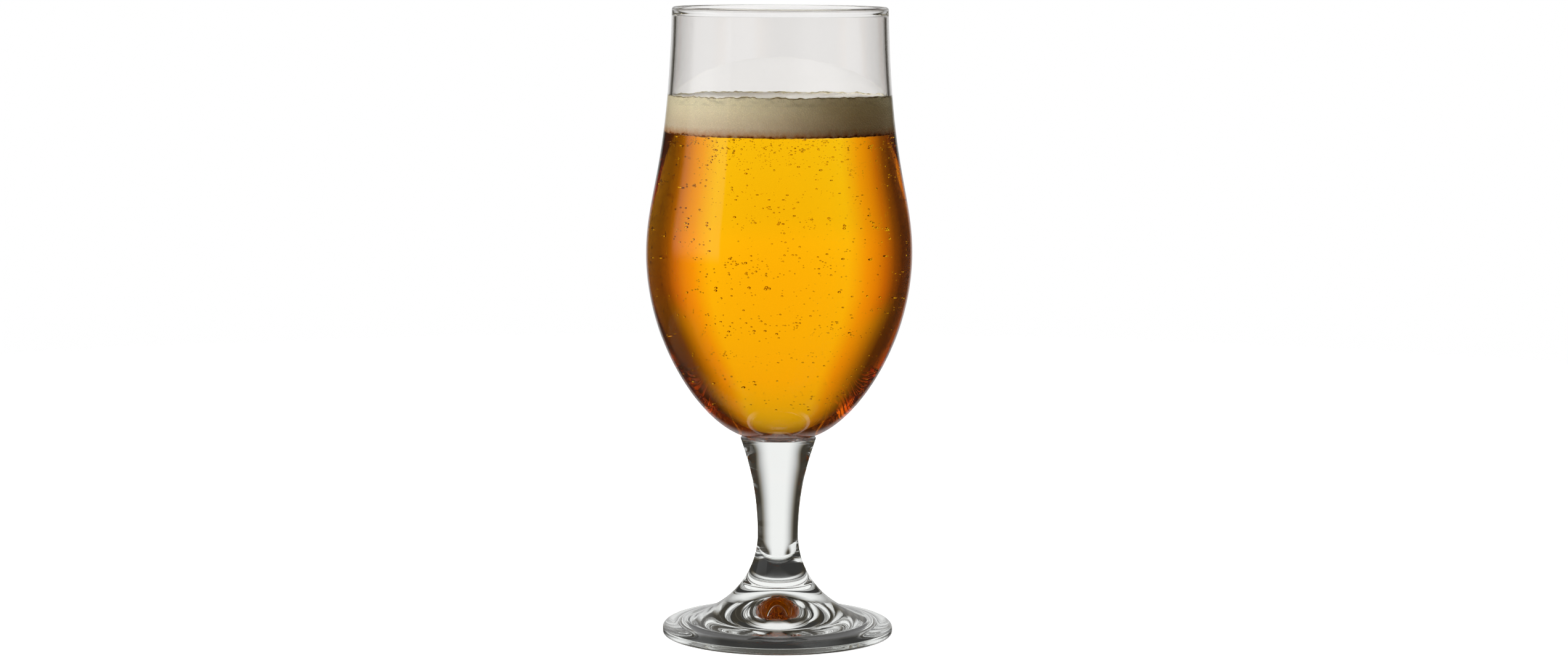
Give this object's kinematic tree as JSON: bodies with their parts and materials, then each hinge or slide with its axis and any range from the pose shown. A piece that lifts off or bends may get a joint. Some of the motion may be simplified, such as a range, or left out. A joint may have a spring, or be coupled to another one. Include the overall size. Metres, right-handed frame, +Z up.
{
  "type": "stemmed beer glass",
  "caption": "Tulip-shaped stemmed beer glass with a thin blown bowl, a pressed stem and a domed foot, standing full of beer under a head of foam.",
  "frame": {"origin": "centre of the ring that the foot stands on, on the table plane", "axes": "+Z up along the axis of the glass; the glass is round, so +X and +Y are free"},
  "size_m": [0.0856, 0.0856, 0.203],
  "materials": {
    "foot_glass": "polished",
    "stem_glass": "polished",
    "bowl_glass": "polished",
    "beer": "clear liquid",
    "foam": "fine froth"
  },
  "bodies": {
    "root": {"foot": "foot_glass", "stem": "stem_glass", "bowl": "bowl_glass", "beer": "beer", "foam_head": "foam"}
  },
  "joints": []
}
